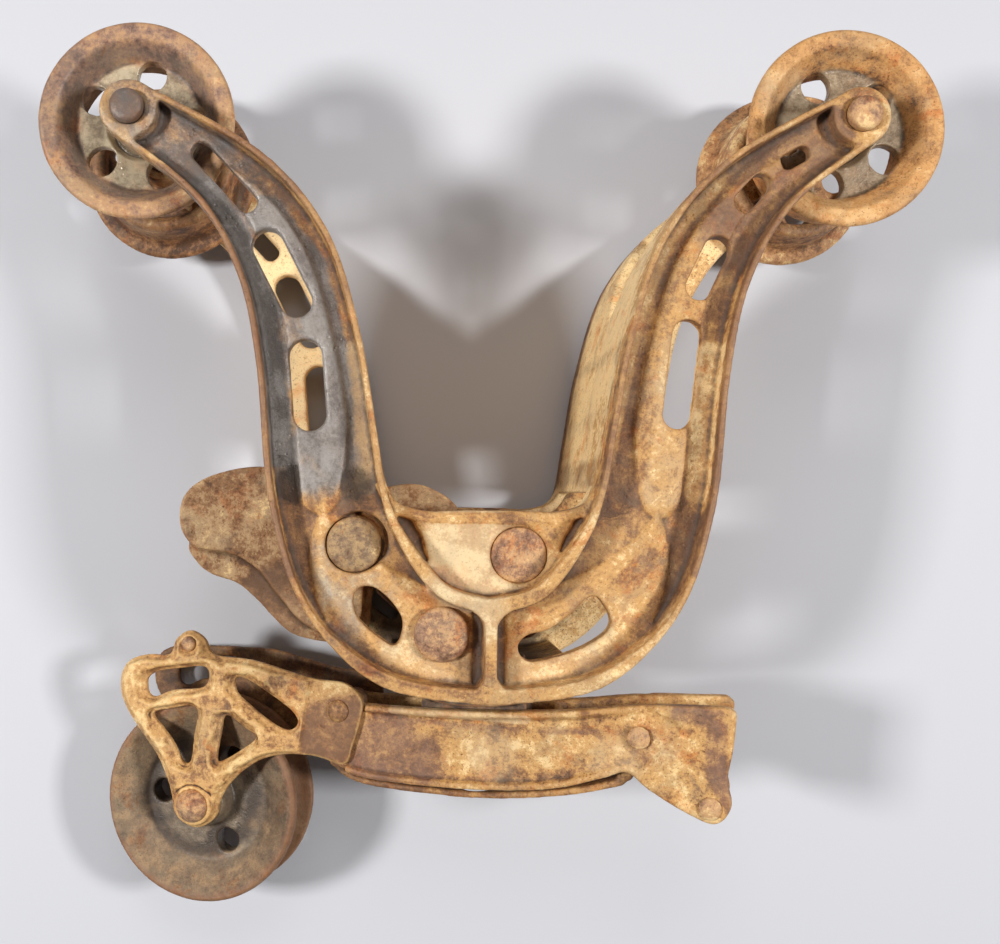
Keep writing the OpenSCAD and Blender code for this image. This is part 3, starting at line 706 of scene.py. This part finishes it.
pin_iron = rusty_iron(
    "pin iron", brown=rgb(150, 112, 86), gold=rgb(204, 158, 110), share=0.58, spread=1.3, wear_and_highlight=0.35,
)
catch_pin_iron = rusty_iron(
    "catch pin iron", brown=rgb(130, 104, 78), gold=rgb(172, 140, 98), share=0.48, spread=1.3, wear_and_highlight=0.3,
)
lever_iron = rusty_iron(
    "lever iron", gold=rgb(192, 155, 112), deep=rgb(128, 94, 64), share=0.58, spread=1.3, grit=0.7, pits=1.0,
)
# Very dark iron for the levers and stem inside and under the frame, painted shade for the shade they sit in.
shaded_inner_iron = rusty_iron(
    "inner lever iron", umber=rgb(44, 34, 28), brown=rgb(84, 62, 46), gold=rgb(128, 96, 66), share=0.35,
)
swivel_iron = rusty_iron(
    "swivel iron", deep=rgb(146, 110, 90), share=0.6, spread=1.3, speck=0.8, wear_and_highlight=0.5, grit=0.7, pits=0.9,
)
strap_iron = rusty_iron("strap iron", share=0.34, spread=1.3, wear_and_highlight=0.4)
bracket_iron = rusty_iron(
    "bracket iron", brown=rgb(150, 106, 66), gold=rgb(206, 158, 98), deep=rgb(130, 90, 58),
    rubbed_and_highlight=rgb(230, 188, 122), share=0.62, spread=1.3, wear_and_highlight=0.7, dirt_and_shade=1.0, hollows=0.7, pits=0.8,
)
# The far bracket's iron is darkened all over, painted shade for the shade it sits in behind the near bracket.
shaded_far_bracket_iron = rusty_iron("far bracket iron", share=0.25, wear_and_highlight=0.4)
sheave_iron = rusty_iron(
    "sheave iron", umber=rgb(88, 72, 58), brown=rgb(130, 106, 82), gold=rgb(166, 134, 98),
    dust=rgb(206, 174, 134), deep=rgb(164, 110, 70), bare=rgb(146, 132, 112), bare_dark=rgb(100, 88, 74),
    share=0.42, spread=0.75, wear_and_highlight=0.3,
)

# Where each iron changes over its piece, and where light and shade are painted on it

WALL_BLOTCHES = [
    spot(56, -142, 10, 0.55, *NEAR_WALL), spot(62, -112, 8, 0.35, *NEAR_WALL),
    spot(66, -78, 7, 0.45, *NEAR_WALL), spot(80, -30, 8, 0.4, *NEAR_WALL), spot(100, 2, 9, 0.45, *NEAR_WALL),
]
near_casting_marks = {
    "bare": [
        stripe(LEFT_TROUGH, 11, 0.95, *ON_WEB), stripe(RIGHT_TROUGH, 13, 1.0, *ON_WEB),
        stripe([(-172, 34), (-150, 18), (-124, -14)], 24, 0.6, *ON_WEB), spot(-90, -134, 27, 0.85, *ON_WEB),
        stripe([(-112, -40), (-100, -90)], 14, 0.7, *ON_WEB), spot(-187, 42, 24, 0.45),
        spot(-82, -204, 38, 0.42, 66, 72),
    ],
    "deep": [
        stripe(LEFT_RIM, 9, 0.9, ON_RIM), stripe(LEFT_INNER_RIM, 10, 0.5, ON_RIM),
        stripe(RIGHT_RIM, 6, 0.75, ON_RIM), stripe(RIGHT_INNER_RIM, 8, 0.5, 72), *WALL_BLOTCHES,
        stripe(BOTTOM_RIM, 7, 0.28, 73), spot(66, -196, 44, 0.3, *ON_PANEL), spot(-187, 42, 24, 0.25),
        field(0.5, 60, 66.2), stripe([(164, 32), (146, 6), (125, -20)], 24, 0.72, *ON_WEB),
        stripe([(104, -168), (100, -189), (86, -218)], 10, 0.55, 50, 75),
        stripe([(86, -218), (69, -233), (50, -243)], 9, 0.45, 50, 75),
    ],
    "pale": [
        # The pale stripe on the right inner wall is painted light.
        field(0.22, 66.4, 67.9), stripe(RIGHT_WALL, 10, 0.25, *NEAR_WALL), stripe(LEFT_FLANK, 6, 0.8, 62, 78),
        spot(-10, -188, 36, 1.0, 67.5, 69.5), stripe([(97, -80), (88, -150)], 14, 0.45, *ON_PANEL),
        stripe([(-45, -232), (0, -248), (45, -236)], 16, 0.5, *ON_PANEL), spot(-17, -212, 30, 0.8, 76),
    ],
    # Painted shade at the foot of the left arm's troughs and in one narrow recess beside them.
    "soot": [
        spot(-101, -149, 13, 0.9, 50, 67), spot(-70, -149, 12, 0.8, 50, 67), spot(-58, -182, 8, 0.9, 50, 76),
    ],
    "gilt": [
        # The gold stripe on the right inner wall is painted light.
        stripe(RIGHT_WALL, 10, 1.0, *NEAR_WALL), stripe([(-63, -100), (-56, -160)], 9, 0.3, 72),
        stripe([(113, -80), (108, -150)], 9, 1.0, 50, 73),
        stripe([(-40, -214), (0, -222), (40, -214)], 12, 0.4, 74),
    ],
}
far_casting_marks = {
    # On the far casting, the gold and pale stripes on the right wall and inside the left arm are painted
    # light.
    "gilt": [stripe(RIGHT_WALL, 10, 0.8, *FAR_WALL), stripe(LEFT_ARM, 22, 0.45, *FAR_INSIDE)],
    "pale": [stripe(LEFT_ARM, 22, 0.55, *FAR_INSIDE)],
    # The field darkens the far casting's face towards the floor, painted shade that keeps the slots dark; the
    # blotches are stains.
    "deep": [field(0.9, -90, -66), *WALL_BLOTCHES],
    # Painted shade on the far casting's inner face behind the windows.
    "soot": [
        spot(-62, -195, 52, 1.0, *BEHIND_WINDOWS), spot(-8, -230, 66, 1.0, *BEHIND_WINDOWS),
        spot(26, -204, 50, 1.0, *BEHIND_WINDOWS),
    ],
}
left_wheel_marks = {
    "bare": [ring(-WHEEL_X, WHEEL_Y, 6, 34, 0.75, soft=5)],
    "deep": [ring(-WHEEL_X, WHEEL_Y, 34, 42, 0.75, soft=7), stripe(LEFT_FLANGE, 11, 0.5, 40)],
}
right_wheel_marks = {
    "bare": [ring(WHEEL_X, WHEEL_Y, 10, 35, 0.8)],
    # Painted light lifting the shaded upper part of the flange.
    "pale": [spot(157, 60, 22, 0.5, 40)],
}
stud_marks = {
    "deep": [spot(-WHEEL_X, WHEEL_Y, 16, 0.9)],
    "bare": [spot(-WHEEL_X, WHEEL_Y, 16, 0.55)],
}
sheave_hole_marks = [
    spot(SHEAVE_X + SHEAVE_HOLE_AT * math.cos(turn), SHEAVE_Y + SHEAVE_HOLE_AT * math.sin(turn), 11)
    for turn in map(math.radians, SHEAVE_HOLE_TURNS)
]
sheave_marks = {
    "deep": [ring(SHEAVE_X, SHEAVE_Y, 54, 70, 0.6, soft=5), field(0.8, high=-52)],
    "bare": [ring(SHEAVE_X, SHEAVE_Y, 8, 32, 0.7, soft=5), ring(SHEAVE_X, SHEAVE_Y, 30, 46, 0.45, soft=6)],
    # Painted shade in the dish, in its holes and on its right slope.
    "soot": [ring(SHEAVE_X, SHEAVE_Y, 27, 37, 0.75, soft=5), spot(-128, -342, 24, 0.45), *sheave_hole_marks],
}
beam_marks = {
    "deep": [
        spot(-52, -296, 26, 0.62), spot(-30, -302, 18, 0.55), spot(-64, -310, 14, 0.6),
        spot(-8, -288, 14, 0.3), spot(92, -286, 18, 0.4),
        stripe([(104, -268), (121, -270), (121, -300), (132, -318)], 7, 0.55),
        stripe([(-60, -281), (20, -283), (90, -280)], 2.5, 0.5),
        stripe([(-56, -318), (0, -322), (60, -316)], 4, 0.5),
    ],
    # The thin pale stripe along the top edge is a painted highlight; the round pale spots are lighter rust.
    "pale": [spot(6, -298, 20, 0.55), stripe([(-48, -275), (24, -277)], 3.5, 0.7), spot(70, -296, 18, 0.5)],
}

# The iron and the marks of each piece whose finish differs from that of its slot
FINISHES = {
    "near_side_frame": (near_iron, near_casting_marks),
    "far_side_frame": (far_iron, far_casting_marks),
    "wheel_near_left": (left_wheel_iron, left_wheel_marks),
    "wheel_near_right": (right_wheel_iron, right_wheel_marks),
    "wheel_far_left": (far_wheel_iron, {"deep": [field(0.5)]}),
    "wheel_far_right": (far_wheel_iron, {}),
    "axle_studs": (pin_iron, stud_marks),
    "catch_pin": (catch_pin_iron, {}),
    "stop_catch": (lever_iron, {"deep": [spot(-118, -218, 30, 0.7), spot(-124, -172, 22, 0.15)]}),
    "trip_lever": (shaded_inner_iron, {}),
    "pulley_hook": (shaded_inner_iron, {}),
    "swivel_stem": (shaded_inner_iron, {}),
    "near_cheek": (swivel_iron, beam_marks),
    "mouth_guide": (strap_iron, {}),
    # The near bracket's small dark spot is painted shade.
    "near_bracket": (bracket_iron, {"deep": [spot(-78, -292, 30, 0.95)], "soot": [spot(-64, -300, 8, 0.35)]}),
    # The far bracket is darkened all over again by a field of painted shade.
    "far_bracket": (shaded_far_bracket_iron, {"soot": [field(0.5)]}),
    "bracket_bolt": (strap_iron, {"deep": [field(0.4)]}),
    "rope_sheave": (sheave_iron, sheave_marks),
}
BY_SLOT = {
    "casting": near_iron,
    "wheel": right_wheel_iron,
    "pin": pin_iron,
    "lever": lever_iron,
    "swivel": swivel_iron,
    "bracket": bracket_iron,
    "sheave": sheave_iron,
}
STREAK_RUNS = {"casting": (LEFT_ARM, RIGHT_ARM, ROUND_BODY)}

# How each piece is skinned and rounded, where it differs from the rest
FINE_VOXEL, COARSE_VOXEL = 0.7, 1.1
SMALL_PIECE = 90 * MM
SHAPING = {
    "near_side_frame": {"voxel": 1.0, "soften": 4, "fillet": 5},
    "far_side_frame": {"fillet": 8, "keep": 0.3},
    "wheel_near_left": {
        "voxel": 0.75, "soften": 3, "web": (-WHEEL_X, WHEEL_Y, 3, 5), "roll": (-WHEEL_X, WHEEL_Y, 37, 49, 20),
    },
    "wheel_near_right": {
        "voxel": 0.75, "soften": 3, "web": (WHEEL_X, WHEEL_Y, 3, 5), "roll": (WHEEL_X, WHEEL_Y, 38, 49, 8),
    },
    "stop_catch": {"voxel": 1.0, "soften": 16, "lump": 0.3},
    "near_bracket": {"voxel": 0.7, "soften": 6, "ridge": (SWIVEL_LEAN, 2.8, 1.2, 2.8, -112)},
    "rope_sheave": {"voxel": 0.8, "soften": 4},
    "near_cheek": {"voxel": 0.9, "soften": 9},
}

for node in nodes:
    material, marks = FINISHES.get(node, (BY_SLOT[slot_of[node]], {}))
    small = max(b - a for a, b in zip(*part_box(node))) < SMALL_PIECE
    shape = {"voxel": FINE_VOXEL if small else COARSE_VOXEL, **SHAPING.get(node, {})}
    casting(node, material, marks, STREAK_RUNS.get(slot_of[node], ()), **shape)

lay_floor()
